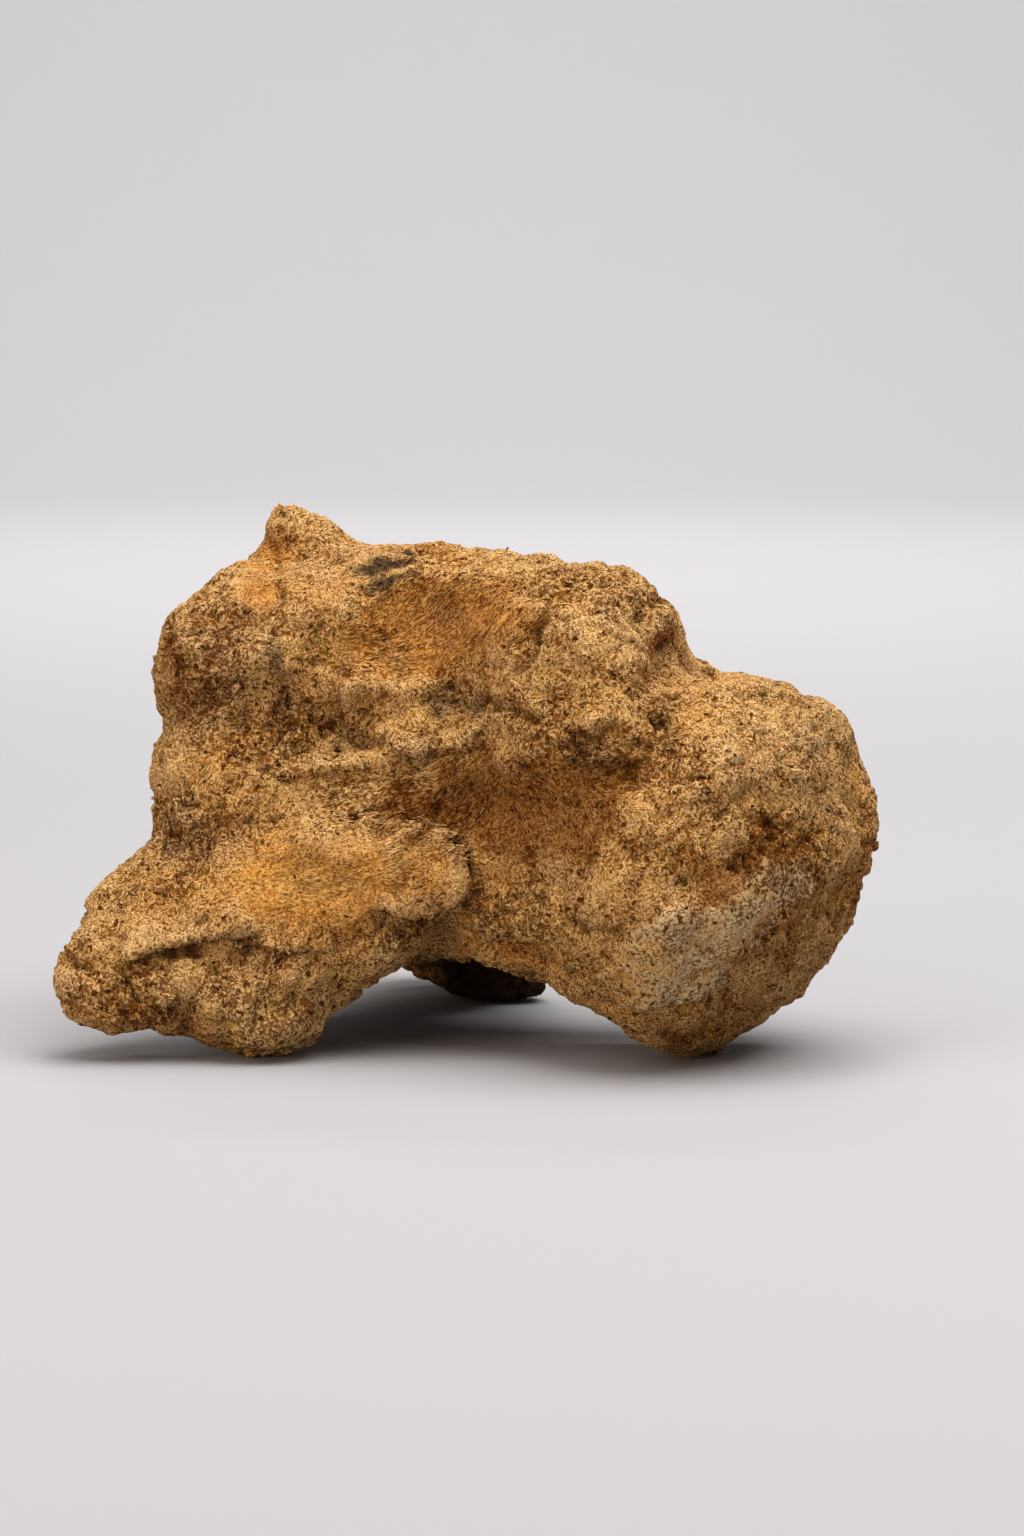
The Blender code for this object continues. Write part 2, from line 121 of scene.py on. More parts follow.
def view_axes():
    """Unit vectors to the right, up and back towards the eye, as the camera sees the bone."""
    c, s = FLANK_COSINE, FLANK_SINE
    right = Vector((c, s, 0))
    back = Vector((s * math.cos(VIEW_TILT), -c * math.cos(VIEW_TILT), math.sin(VIEW_TILT)))
    return right, back.cross(right), back


def place_camera():
    right, up, back = view_axes()
    across = (IMAGE_WIDTH / 2 - ORIGIN_PIXEL[0]) / PIXELS_PER_MM * MM
    above = (ORIGIN_PIXEL[1] - IMAGE_HEIGHT / 2) / PIXELS_PER_MM * MM
    data = bpy.data.cameras.new("studio_camera")
    camera = bpy.data.objects.new("studio_camera", data)
    camera.location = BONE_ORIGIN + right * across + up * above + back * EYE_DISTANCE
    camera.rotation_mode = "QUATERNION"
    camera.rotation_quaternion = back.to_track_quat("Z", "Y")
    data.sensor_fit = "VERTICAL"
    data.sensor_height = 36
    data.lens = data.sensor_height * EYE_DISTANCE / (IMAGE_HEIGHT / PIXELS_PER_MM * MM)
    data.clip_start = 0.01
    data.clip_end = 20
    bpy.context.scene.collection.objects.link(camera)
    bpy.context.scene.camera = camera


def studio():
    """A pale round cove: a flat floor that curves up all round, with no seam in sight."""
    flat, rise, wall = 1.1, 0.5, 0.2
    bend_steps, round_steps = 12, 96
    profile = [(flat * t, 0) for t in (0, 0.25, 0.5, 0.75)]
    for i in range(bend_steps + 1):
        angle = math.pi / 2 * i / bend_steps
        profile.append((flat + rise * math.sin(angle), rise * (1 - math.cos(angle))))
    profile.append((flat + rise, rise + wall))
    bm = bmesh.new()
    verts = [bm.verts.new((r, 0, z)) for r, z in profile]
    edges = [bm.edges.new(pair) for pair in zip(verts, verts[1:])]
    turn = {"axis": (0, 0, 1), "cent": (0, 0, 0), "angle": 2 * math.pi, "steps": round_steps}
    bmesh.ops.spin(bm, geom=verts + edges, **turn)
    bmesh.ops.remove_doubles(bm, verts=bm.verts, dist=1e-5)
    bmesh.ops.recalc_face_normals(bm, faces=bm.faces)
    if bm.faces[0].normal.z < 0:
        bmesh.ops.reverse_faces(bm, faces=bm.faces)
    mesh = bpy.data.meshes.new("studio_cove")
    bm.to_mesh(mesh)
    bm.free()
    mesh.shade_smooth()
    cove = bpy.data.objects.new("studio_cove", mesh)
    cove.location = BONE_ORIGIN
    bpy.context.scene.collection.objects.link(cove)
    paper = bpy.data.materials.new("matt_paper")
    paper.use_nodes = True
    shader = paper.node_tree.nodes["Principled BSDF"]
    shader.inputs["Base Color"].default_value = linear("#a8a8ac")
    shader.inputs["Roughness"].default_value = 0.9
    mesh.materials.append(paper)


def round_about(turn, distance, height):
    """A place so far from the bone and so high, turned round from the camera's side by these degrees."""
    around = VIEW_TURN + math.radians(turn)
    return BONE_ORIGIN + Vector((math.sin(around) * distance, -math.cos(around) * distance, height))


def softbox(name, at, aim, size, watts, colour="#fffbf8"):
    """A square light at one place that faces another, each given by its turn, distance and height."""
    data = bpy.data.lights.new(name, "AREA")
    data.shape = "SQUARE"
    data.size = size
    data.energy = watts
    data.color = linear(colour)[:3]
    light = bpy.data.objects.new(name, data)
    light.location = round_about(*at)
    light.rotation_mode = "QUATERNION"
    light.rotation_quaternion = (light.location - round_about(*aim)).to_track_quat("Z", "Y")
    bpy.context.scene.collection.objects.link(light)


def studio_light():
    softbox("top_light", at=(65, 0.18, 0.71), aim=(0, 0, 0.03), size=0.8, watts=10.5)
    softbox("left_light", at=(-50, 0.5, 0.5), aim=(0, 0, 0.03), size=0.5, watts=1.3)
    softbox("low_light", at=(-45, 0.9, 0.1), aim=(0, 0, 0.03), size=0.4, watts=3.8, colour="#ffe8ca")
    softbox("wall_light", at=(180, 0.8, 0.75), aim=(180, 1.3, 0), size=0.5, watts=10.2)
    world = bpy.data.worlds.new("studio_air")
    bpy.context.scene.world = world
    world.use_nodes = True
    air = world.node_tree.nodes["Background"]
    air.inputs["Color"].default_value = linear("#ebe9ea")
    air.inputs["Strength"].default_value = 0.18
    bpy.context.scene.view_settings.view_transform = "Standard"
    bpy.context.scene.view_settings.look = "None"


# Meshes and Geometry Nodes.


def new_object(name, mesh):
    mesh.name = name
    obj = bpy.data.objects.new(name, mesh)
    bpy.context.scene.collection.objects.link(obj)
    return obj


def apply_modifiers(obj):
    """Turns what the modifiers make into the object's own plain mesh, and drops them."""
    graph = bpy.context.evaluated_depsgraph_get()
    mesh = bpy.data.meshes.new_from_object(obj.evaluated_get(graph))
    obj.modifiers.clear()
    obj.data = mesh
    mesh.name = obj.name
    mesh.shade_smooth()


def node_group(name, sizes):
    """A new group that takes a shape and the named sizes, and gives a shape."""
    tree = bpy.data.node_groups.new(name, "GeometryNodeTree")
    tree.interface.new_socket("Geometry", in_out="INPUT", socket_type="NodeSocketGeometry")
    for size in sizes:
        tree.interface.new_socket(size, in_out="INPUT", socket_type="NodeSocketFloat")
    tree.interface.new_socket("Geometry", in_out="OUTPUT", socket_type="NodeSocketGeometry")
    return tree, add(tree, "NodeGroupInput").outputs


def run_group(obj, tree, sizes):
    """Runs the group on the object with these sizes, and keeps the result as a plain mesh."""
    modifier = obj.modifiers.new(tree.name, "NODES")
    modifier.node_group = tree
    for socket in tree.interface.items_tree:
        if socket.name in sizes and socket.in_out == "INPUT":
            modifier[socket.identifier] = sizes[socket.name]
    apply_modifiers(obj)


def attribute(tree, name, kind="FLOAT"):
    """What is stored on the mesh under this name."""
    return add(tree, "GeometryNodeInputNamedAttribute", {"Name": name}, data_type=kind).outputs["Attribute"]


def keep(tree, geometry, name, value):
    """Stores a number on each point of the geometry under this name."""
    inputs = {"Geometry": geometry, "Name": name, "Value": value}
    settings = {"data_type": "FLOAT", "domain": "POINT"}
    return add(tree, "GeometryNodeStoreNamedAttribute", inputs, **settings).outputs[0]


def maths(tree, operation, *values):
    """One step of arithmetic on numbers."""
    return add(tree, "ShaderNodeMath", dict(enumerate(values)), operation=operation).outputs[0]


def product(tree, first, *others):
    """All the values multiplied together, from the first on."""
    for other in others:
        first = maths(tree, "MULTIPLY", first, other)
    return first


def vectors(tree, operation, first, second):
    """One step of arithmetic on two vectors, or on a vector and its scale."""
    key = "Scale" if operation == "SCALE" else 1
    return add(tree, "ShaderNodeVectorMath", {0: first, key: second}, operation=operation).outputs[0]


def split(tree, vector):
    """The three parts of a vector."""
    return add(tree, "ShaderNodeSeparateXYZ", {0: vector}).outputs


def joined(tree, *parts):
    """A vector of three parts."""
    return add(tree, "ShaderNodeCombineXYZ", dict(enumerate(parts))).outputs[0]


def noise_at(tree, vector, scale, detail=0.0, output="Fac"):
    """A smooth noise with so many lumps to one unit of the vector."""
    inputs = {"Vector": vector, "Scale": scale, "Detail": detail}
    return add(tree, "ShaderNodeTexNoise", inputs).outputs[output]


def swing(tree, vector, scale, detail=0.0):
    """The same noise as it swings both ways from 0."""
    return maths(tree, "SUBTRACT", noise_at(tree, vector, scale, detail), 0.5)


def eased(tree, value, low, high, to_low=0.0, to_high=1.0):
    """Maps a value from one range to another, smoothly and with no overshoot."""
    return add(
        tree,
        "ShaderNodeMapRange",
        {"Value": value, "From Min": low, "From Max": high, "To Min": to_low, "To Max": to_high},
        interpolation_type="SMOOTHSTEP",
    ).outputs["Result"]


# The bone's skin, and what is where on it.


def bone_blank():
    """An even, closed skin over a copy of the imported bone, ready for its relief."""
    bm = bmesh.new()
    bm.from_mesh(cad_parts["vertebra"].data)
    bmesh.ops.remove_doubles(bm, verts=bm.verts, dist=MERGE_DISTANCE)
    mesh = bpy.data.meshes.new("bone_skin")
    bm.to_mesh(mesh)
    bm.free()
    skin = new_object("bone_skin", mesh)
    remesh = skin.modifiers.new("even_skin", "REMESH")
    remesh.mode = "VOXEL"
    remesh.voxel_size = SKIN_VOXEL
    smooth = skin.modifiers.new("ease", "SMOOTH")
    smooth.factor = 0.5
    smooth.iterations = SKIN_SMOOTHING
    apply_modifiers(skin)
    return skin


def faded(amount):
    """Goes from 0 to 1 with no kink at either end."""
    amount = np.clip(amount, 0, 1)
    return amount * amount * (3 - 2 * amount)


class Skin:
    """The points of the skin from the bone's own origin in millimetres, and the way each faces."""

    def __init__(self, mesh):
        count = len(mesh.vertices)
        points = np.empty(count * 3)
        normals = np.empty(count * 3)
        mesh.vertices.foreach_get("co", points)
        mesh.vertex_normals.foreach_get("vector", normals)
        self.mesh = mesh
        self.points = (points.reshape(-1, 3) - np.array(BONE_ORIGIN)) / MM
        self.normals = normals.reshape(-1, 3)
        self.wander = self.lumps(4.5, 0)
        self.fray = self.lumps(1.6, 7)

    def lumps(self, grain, seed):
        """A smooth noise from about -1 to 1 whose lumps are about one grain wide, in millimetres."""
        shift = Vector((seed * 13.7, seed * 5.3, seed * 9.1))
        return np.array([noise.noise(Vector(point) / grain + shift) for point in self.points])

    def flank(self, side):
        """How far along the flank and up each point lies, and how much it faces out of that flank."""
        along = self.points @ np.array((FLANK_COSINE, -side * FLANK_SINE, 0))
        facing = self.normals @ np.array((FLANK_SINE, side * FLANK_COSINE, 0))
        return along, self.points[:, 2], facing

    def patch(self, side, at, size, turn=0, margin=1.0, ragged=0.3):
        """1 in an oval place on a flank, fading to 0 at its edge. The turn tips its length up towards +X."""
        along, up, facing = self.flank(side)
        along, up = along - at[0], up - at[1]
        tip = math.radians(turn)
        first = (along * math.cos(tip) + up * math.sin(tip)) / size[0]
        second = (up * math.cos(tip) - along * math.sin(tip)) / size[1]
        reach = 1 - np.hypot(first, second) + ragged * (self.wander + 0.4 * self.fray)
        return faded(reach / margin) * faded(facing * 2.5)

    def add_patches(self, values, side, places):
        """Adds these patches on a flank to the values, each (amount, place, size, how it lies)."""
        for amount, at, size, shape in places:
            values += amount * self.patch(side, at, size, **shape)

    def beside(self, side, line):
        """How far each point is to the left of a line on a flank, and how near to the line's middle."""
        along, up, facing = self.flank(side)
        along = along + 0.6 * self.wander + 0.4 * self.fray
        up = up + 0.6 * self.fray
        length = sum(math.dist(start, end) for start, end in zip(line, line[1:]))
        nearest = np.full(len(along), 1e3)
        left, middle = np.zeros(len(along)), np.zeros(len(along))
        passed = 0
        for start, end in zip(line, line[1:]):
            run, rise = end[0] - start[0], end[1] - start[1]
            step = math.hypot(run, rise)
            share = np.clip(((along - start[0]) * run + (up - start[1]) * rise) / step**2, 0, 1)
            off_along, off_up = along - start[0] - share * run, up - start[1] - share * rise
            distance = np.hypot(off_along, off_up)
            closer = (distance < nearest) & (facing > 0.1)
            nearest[closer] = distance[closer]
            left[closer] = np.copysign(distance, run * off_up - rise * off_along)[closer]
            reached = passed + share * step
            middle[closer] = (np.minimum(reached, length - reached) / LINE_FADE)[closer]
            passed += step
        return left, faded(middle)

    def ledge(self, side, line, height, reach):
        """A broken edge: raised left of the line, less and less over its reach, and level right of it."""
        left, middle = self.beside(side, line)
        return height * middle * faded(left / 0.7 + 0.5) * np.exp(-np.maximum(left, 0) / reach)

    def crack(self, side, line, depth, width):
        """A crack along the line."""
        left, middle = self.beside(side, line)
        return -depth * middle * faded(1.5 - np.abs(left) / width)

    def near_to(self, centre, radius):
        """1 near the centre, fading to 0 at the radius."""
        return faded(2 * (1 - np.linalg.norm(self.points - np.array(centre), axis=1) / radius))

    def store(self, name, values):
        """Keeps on the skin one number, a vector of three or a colour of four for each point."""
        values = np.asarray(values, np.float32).reshape(len(self.points), -1)
        kinds = {1: ("FLOAT", "value"), 3: ("FLOAT_VECTOR", "vector"), 4: ("FLOAT_COLOR", "color")}
        kind, field = kinds[values.shape[1]]
        layer = self.mesh.attributes.new(name, kind, "POINT")
        layer.data.foreach_set(field, values.ravel())


# The lie of the bone fibres on a flank: (place, reach in mm, angle in degrees up towards +X).
FIBRE_LIE = (
    ((-6, 57), 9, 42),
    ((8, 62), 7, 15),
    ((-25, 55), 8, -18),
    ((-12, 47), 7, -10),
    ((-27, 43), 9, 5),
    ((-15, 39), 7, 14),
    ((-12, 33), 7, 24),
    ((0, 33), 6, 42),
    ((8, 33), 6, -50),
    ((16, 36), 7, -28),
    ((-22, 25), 12, 10),
    ((-4, 26), 5, 20),
    ((-46, 15), 8, 58),
    ((-42, 25), 6, 62),
    ((-30, 12), 8, 14),
    ((8, 22), 10, -14),
    ((10, 13), 7, -16),
    ((20, 52), 9, 65),
    ((14, 44), 6, 40),
    ((30, 40), 9, -55),
    ((40, 30), 9, -70),
    ((30, 15), 9, 30),
)


# The angles between which the fibres in the bone's surface pattern are blended.
FIBRE_ANGLES = (0, 45, 90, 135)


def lie_angle(skin, side):
    """The angle at which the fibres lie on a flank, in radians up towards +X."""
    along, up, _ = skin.flank(side)
    cosine, sine = np.full(len(along), 1e-4), np.zeros(len(along))
    for (u, v), reach, angle in FIBRE_LIE:
        pull = np.exp(-((along - u) ** 2 + (up - v) ** 2) / reach**2)
        cosine += pull * math.cos(math.radians(2 * angle))
        sine += pull * math.sin(math.radians(2 * angle))
    return np.arctan2(sine, cosine) / 2 + 0.25 * skin.wander


def fibre_lie(skin):
    """The direction of the fibres at each point, as a unit vector in the surface."""
    lie = np.zeros_like(skin.points)
    for side in (NEAR_SIDE, FAR_SIDE):
        angle = lie_angle(skin, side)
        sideways = np.array((FLANK_COSINE, -side * FLANK_SINE, 0))
        direction = np.outer(np.cos(angle), sideways) + np.outer(np.sin(angle), (0, 0, 1))
        lie += direction * faded(0.5 + skin.flank(side)[2] * 2)[:, None]
    lie += np.array((0.05, 0, 0))
    lie -= np.sum(lie * skin.normals, axis=1)[:, None] * skin.normals
    return lie / np.maximum(np.linalg.norm(lie, axis=1), 1e-6)[:, None]


def fibre_shares(skin, order):
    """How much of each of the fibre angles makes up the pattern at each point, out of the order there is."""
    angle = np.where(skin.points[:, 1] < 0, lie_angle(skin, NEAR_SIDE), lie_angle(skin, FAR_SIDE))
    shares = []
    for step in FIBRE_ANGLES:
        turn = np.cos(2 * (angle - math.radians(step)))
        shares.append(np.clip(turn, 0, 1) ** 2 * order)
    return np.stack(shares, axis=1)


def crevices(skin, shares, order):
    """Short crevices that run as the fibres lie, or wind where they lie anyhow: 1 in them, 0 beside them."""
    grown = (1 - order) * skin.lumps(CREVICE_GAP, 11)
    x, y, z = skin.points.T
    y = np.abs(y)
    u, out = x * FLANK_COSINE - y * FLANK_SINE, x * FLANK_SINE + y * FLANK_COSINE
    for step, share in zip(FIBRE_ANGLES, shares.T):
        c, s = math.cos(math.radians(step)), math.sin(math.radians(step))
        places = np.stack(((u * c + z * s) / CREVICE_STRETCH, z * c - u * s, out), axis=1) / CREVICE_GAP
        grown += share * np.array([noise.noise(Vector(place)) for place in places])
    ends = faded((skin.lumps(5, 12) + 0.15) / 0.25)
    return faded(1 - np.abs(grown) / 0.16) * ends


# The places below are patches on a flank, in mm: (amount, place, reach along and up, how it lies). An amount
# less than 0 takes away. These are open and spongy on both flanks, and the last two are polished.
OPEN_PLACES = (
    (0.5, (-35, 52), (12, 11), {}),
    (0.5, (-28, 42), (12, 7), {}),
    (0.5, (-38, 30), (6, 11), {}),
    (0.5, (-46, 8), (11, 8), {}),
    (0.4, (-27, 8), (9, 7), {}),
    (0.7, (15, 61), (13, 4), {"turn": -12}),
    (0.4, (24, 42), (12, 8), {"turn": -20}),
    (0.5, (9, 44), (7, 7), {}),
    (0.25, (5, 20), (14, 8), {}),
    (0.3, (38, 28), (12, 14), {}),
    (-0.5, (-19, 24), (19, 8), {"turn": 8}),
    (-0.4, (-5, 56), (14, 8), {"turn": 20}),
)

# The smooth facet under the spur, on the near flank alone.
SMOOTH_FACET = (-0.6, (-28.5, 61), (5, 5), {})


def broken_places(skin):
    """How open and spongy the bone is at each point: broken ends most, polished plates least."""
    open_bone = 0.35 + 0.25 * skin.wander
    for side in (NEAR_SIDE, FAR_SIDE):
        skin.add_patches(open_bone, side, OPEN_PLACES)
    skin.add_patches(open_bone, NEAR_SIDE, [SMOOTH_FACET])
    return np.clip(open_bone, 0.05, 1)


def rock_places(skin):
    """1 where grey-cream rock still clings to the bone: by the ball, and at the front end of the canal."""
    rock = skin.patch(NEAR_SIDE, (24.5, 16), (11, 7), turn=25, margin=0.6, ragged=0.5)
    rock = np.maximum(rock, skin.patch(NEAR_SIDE, (33.5, 21.5), (14, 5.5), turn=32, margin=0.7, ragged=0.5))
    return np.maximum(rock, faded(3 * skin.near_to((-33, 0, 54), 11)))


# The lines on the near flank where it is broken: the middle plate, the rounded flake that ends the bright
# plate, the lobes of the rib process and the step above them, the shelf under the middle plate, the worn
# strip behind the rim, and the bevelled edge of the arch under the waist.
PLATE = ((-17, 51), (-17.6, 47.5), (-16.6, 43.6), (-12.5, 41.6), (-8, 39.8), (-2, 40.6), (3, 42.4))
FLAKE = ((-14, 20.4), (-8, 19.9), (-4, 20.6), (-1.6, 23.5), (-1.9, 28), (-5, 30.6), (-13, 31))
LOBES = ((-47, 13.2), (-39.3, 15.3), (-34, 16.6), (-27, 17.6))
STEP = ((-33, 15.4), (-28, 16), (-22, 14.4))
SHELF = ((-24, 36.8), (-14, 38.4), (-6, 40.6))
STRIP = ((-41, 20), (-34, 28), (-31, 36), (-32.5, 44))
BEVEL = ((-24, 2.5), (-18, 6.5), (-12, 10), (-6, 12.5), (1, 12.5), (8, 9.5), (14, 5))

# Broken edges, raised on the left of their line: (line, height, reach, how dark a seam of painted shadow lies
# along it).
BROKEN_EDGES = (
    (PLATE, 1.2, 3, 0.4),
    (FLAKE, 1.8, 3, 0.9),
    (LOBES, 1.2, 2.5, 0.9),
    (STEP, 1.2, 1.5, 0.8),
    (SHELF, 0.5, 3, 0.2),
    (BEVEL, 0.8, 2.5, 0.0),
)

# Cracks in the near flank: (line, depth, width).
CRACKS = (
    (((-27.6, 67), (-26.7, 62), (-25, 58)), 0.6, 0.5),
    (((11, 61.5), (8, 57), (7.5, 54.5), (4, 50.5)), 1.2, 0.7),
    (((-55, 13.9), (-48.5, 12.4)), 1.4, 0.6),
    (((-42, 14.2), (-38, 14.6), (-34, 15.4)), 1.8, 0.7),
    (((9, 21), (15, 19.5), (20, 20.3)), 0.6, 0.6),
    (((-1, 46.5), (4, 47), (9, 45)), 1.3, 0.8),
)

# Chips, pits, hollows and lumps of the near flank.
CHIPS_AND_LUMPS = (
    # Chips and pits.
    (-1.2, (-17.4, 50.2), (2, 1.4), {"ragged": 0.6}),
    (-1.0, (-15, 41), (3.2, 1.2), {"turn": -30, "ragged": 0.6}),
    (-0.8, (-4.5, 45.8), (6, 1.4), {"turn": -12, "ragged": 0.8}),
    (-1.6, (17, 9.5), (1.8, 2.6), {"ragged": 0.8}),
    (-0.9, (6.5, 14.5), (5.5, 2.2), {"turn": -10, "margin": 0.4, "ragged": 0.4}),
    # The head end, and the porous stump in the middle.
    (0.8, (-20, 44), (4, 6), {"ragged": 0.4}),
    (2.4, (16.5, 41.5), (7.5, 4.5), {"turn": -15}),
    (-1.2, (16, 47), (5, 2.5), {"turn": -10}),
    (1.4, (23, 46), (3, 3), {}),
    (1.8, (23.5, 56.5), (3, 4), {}),
    # Under the middle hollow, and the middle plate.
    (1.8, (3, 19), (8, 7), {}),
    (0.8, (-8, 45.5), (9, 3), {"turn": -8}),
    # The upper hollow and the middle hollow.
    (-1.0, (-6, 56), (12, 6), {"turn": 20}),
    (-0.8, (5, 34), (14, 5), {"turn": 8}),
    # The lobes at the end of the rib process.
    (2.4, (-27, 4.5), (10, 5), {"turn": 4}),
    (1.8, (-37, 9), (4, 5), {}),
)


def flank_relief(skin):
    """Broken plates, flakes and cracks: their heights in millimetres, and 1 where a line of painted shadow
    lies along them.
    """
    near = NEAR_SIDE
    seam_shadows = np.zeros(len(skin.points))
    height = -skin.ledge(near, STRIP, 0.8, 3)
    for line, rise, reach, seam_shadow in BROKEN_EDGES:
        height += skin.ledge(near, line, rise, reach)
        left, middle = skin.beside(near, line)
        here = seam_shadow * middle * faded(1.4 - np.abs(left + 0.4) / 0.4) * faded(0.8 + skin.fray)
        height -= 0.7 * here
        seam_shadows = np.maximum(seam_shadows, here)
    for line, depth, width in CRACKS:
        groove = skin.crack(near, line, depth, width)
        height += groove
        seam_shadows = np.maximum(seam_shadows, np.clip(-groove * 1.6 / depth - 0.7, 0, 1) * faded(0.6 + skin.fray))
    skin.add_patches(height, near, CHIPS_AND_LUMPS)
    height += 0.6 * rock_places(skin)
    return height, seam_shadows


# Where each mineral colour lies on both flanks, and where the fibres lie in order and not anyhow. A few
# patches are painted light, marked below.
HUES_ON_BOTH_FLANKS = {
    "ochre": (
        (1.0, (-19, 24), (21, 9), {"turn": 8}),
        (0.9, (-6, 57), (15, 9), {"turn": 20, "margin": 0.6}),
        (0.6, (3, 34), (18, 8), {"turn": 14}),
    ),
    "brown": (
        (-0.6, (-19, 24), (20, 9), {"turn": 8}),
        (0.4, (-3, 56), (13, 7), {"turn": 20}),
        (1.1, (5, 34), (20, 8.5), {"turn": 8, "margin": 0.6}),
        (0.3, (19, 42), (13, 8), {"turn": 10}),
        (0.5, (-37, 52), (10, 11), {}),
        (1.1, (38, 25), (14, 12), {}),
        (0.15, (28, 7), (12, 7), {}),
    ),
    "grey": (
        (0.9, (-34, 50), (14, 14), {}),
        (0.7, (-39, 31), (6, 10), {}),
    ),
    "pale": (
        (0.8, (-19, 24), (20, 8), {"turn": 8}),
        (1.0, (-27, 36), (11, 7), {}),
        (0.3, (17, 52), (11, 10), {}),
        # Painted light: the band under the bright plate and the lobe at the end of the rib process are made
        # paler where they turn down from the light.
        (0.7, (5, 20), (14, 7), {}),
        (1.5, (-26, 7), (10, 6), {}),
    ),
    "order": (
        (1.0, (-6, 57), (15, 9), {"turn": 20, "margin": 0.5}),
        (1.0, (2, 33), (20, 9), {"turn": 14, "margin": 0.5}),
        (1.0, (-9, 35), (14, 5), {"turn": 15, "margin": 0.5}),
        (0.5, (-19, 24), (20, 8), {"turn": 8}),
    ),
}

# The same on the near flank alone.
HUES_ON_NEAR_FLANK = {
    "ochre": (
        (1.2, (-28.5, 62), (5, 6), {}),
        (0.9, (6.5, 14), (7, 3.4), {"turn": -5}),
        (0.8, (-47, 6), (7, 4), {}),
    ),
    "brown": (
        (0.4, (-28.5, 61), (5, 5), {}),
        # Painted light: less brown on the same lobe.
        (-0.9, (-26, 6), (11, 7), {}),
    ),
    "grey": ((0.4, (40, 42), (14, 10), {}),),
    "pale": ((0.7, (-17, 6), (14, 2.5), {"turn": 32}),),
    "order": (),
}

# Black mineral stains on the near flank.
STAINS = (
    (1.0, (-12.5, 63), (5, 2.6), {"margin": 0.6, "ragged": 0.9}),
    (0.7, (-26, 52), (1.6, 4), {"ragged": 0.8}),
    (0.6, (-5, 46), (7, 3), {"turn": -10, "ragged": 0.9}),
    (0.5, (-25.4, 60), (1.6, 1.3), {"ragged": 0.6}),
    (0.5, (-30.6, 17.6), (2.2, 1.8), {"ragged": 0.9}),
    (0.35, (19, 43), (13, 6), {"turn": 8, "ragged": 0.9}),
)


def hue_amounts(skin):
    """How much of each mineral colour there is at each point, with some painted shade and painted light among
    them, and how far the fibres lie in order.
    """
    drift = skin.lumps(14, 3)
    amounts = {
        "ochre": 0.3 + 0.45 * drift,
        "brown": 0.2 - 0.4 * drift + 0.2 * skin.lumps(3, 4),
        "grey": 0.12 + 0.3 * skin.lumps(9, 5),
        "pale": 0.3 * skin.lumps(6, 6),
        "order": 0.2 + 0.2 * drift,
    }
    for name, amount in amounts.items():
        for side in (NEAR_SIDE, FAR_SIDE):
            skin.add_patches(amount, side, HUES_ON_BOTH_FLANKS[name])
        skin.add_patches(amount, NEAR_SIDE, HUES_ON_NEAR_FLANK[name])
    # Painted shade: faces turned down are made browner and faces turned up less brown.
    downward = -skin.normals[:, 2]
    amounts["brown"] += 0.15 * faded(1.5 * downward) - 0.2 * faded(-1.5 * downward)
    return amounts


def under_arch(skin):
    """1 on the far half of the bone's underside, which the near flank hides from the light, and which gets
    painted shade.
    """
    x, y, z = skin.points.T
    inside = faded((y + 6) / 6) * faded((24 - z) / 8) * faded((26 - np.abs(x + 8)) / 8)
    return inside * faded(2 + 4 * skin.normals[:, 0])


def lay_out(skin):
    """Stores on the skin its relief, the lie of its fibres, and how much of each mineral colour and of painted
    shade is where.
    """
    rock = rock_places(skin)
    open_bone = broken_places(skin)
    ochre, brown, grey, pale, order = hue_amounts(skin).values()
    stain_and_shade = np.zeros(len(skin.points))
    for strength, at, size, shape in STAINS:
        stain_and_shade = np.maximum(stain_and_shade, strength * skin.patch(NEAR_SIDE, at, size, **shape))
    # Painted shade: the far underside, hidden from the light, gets the dark stain colour.
    inside = under_arch(skin)
    stain_and_shade = np.maximum(stain_and_shade, inside * faded(1 - 2 * skin.normals[:, 1]))
    order = np.clip(order, 0.05, 1) * (1 - rock)
    shares = fibre_shares(skin, order)
    creviced = crevices(skin, shares, order) * (0.35 + 0.65 * open_bone) * (1 - 0.8 * rock)
    # Painted shade in brown: on the far underside and in the crevices.
    brown += inside + 0.8 * creviced
    height, seam_shadows = flank_relief(skin)
    skin.store("height", height - CREVICE_DEPTH * creviced)
    skin.store("seam_shadow", seam_shadows)
    skin.store("lie", fibre_lie(skin))
    skin.store("order", order)
    skin.store("lies", shares)
    skin.store("cover", np.clip(0.34 + 0.1 * open_bone + 0.5 * order, 0, 1) * (1 - 0.9 * rock))
    skin.store("hues", np.clip(np.stack((ochre, brown, grey, pale), axis=1), 0, 1))
    skin.store("marks", np.clip(np.stack((stain_and_shade, rock, open_bone), axis=1), 0, 1))


def hollowness(skin):
    """How far in mm each point lies below the bone smoothed over a few mm, or above it if less than 0."""
    count = len(skin.points)
    ends = np.empty(len(skin.mesh.edges) * 2, np.int32)
    skin.mesh.edges.foreach_get("vertices", ends)
    first, second = ends.reshape(-1, 2).T
    neighbours = np.bincount(first, minlength=count) + np.bincount(second, minlength=count)
    smooth = skin.points
    for _ in range(HOLLOW_ROUNDS):
        totals = []
        for part in smooth.T:
            totals.append(np.bincount(first, part[second], count) + np.bincount(second, part[first], count))
        smooth = np.stack(totals, axis=1) / neighbours[:, None]
    return np.sum((smooth - skin.points) * skin.normals, axis=1)


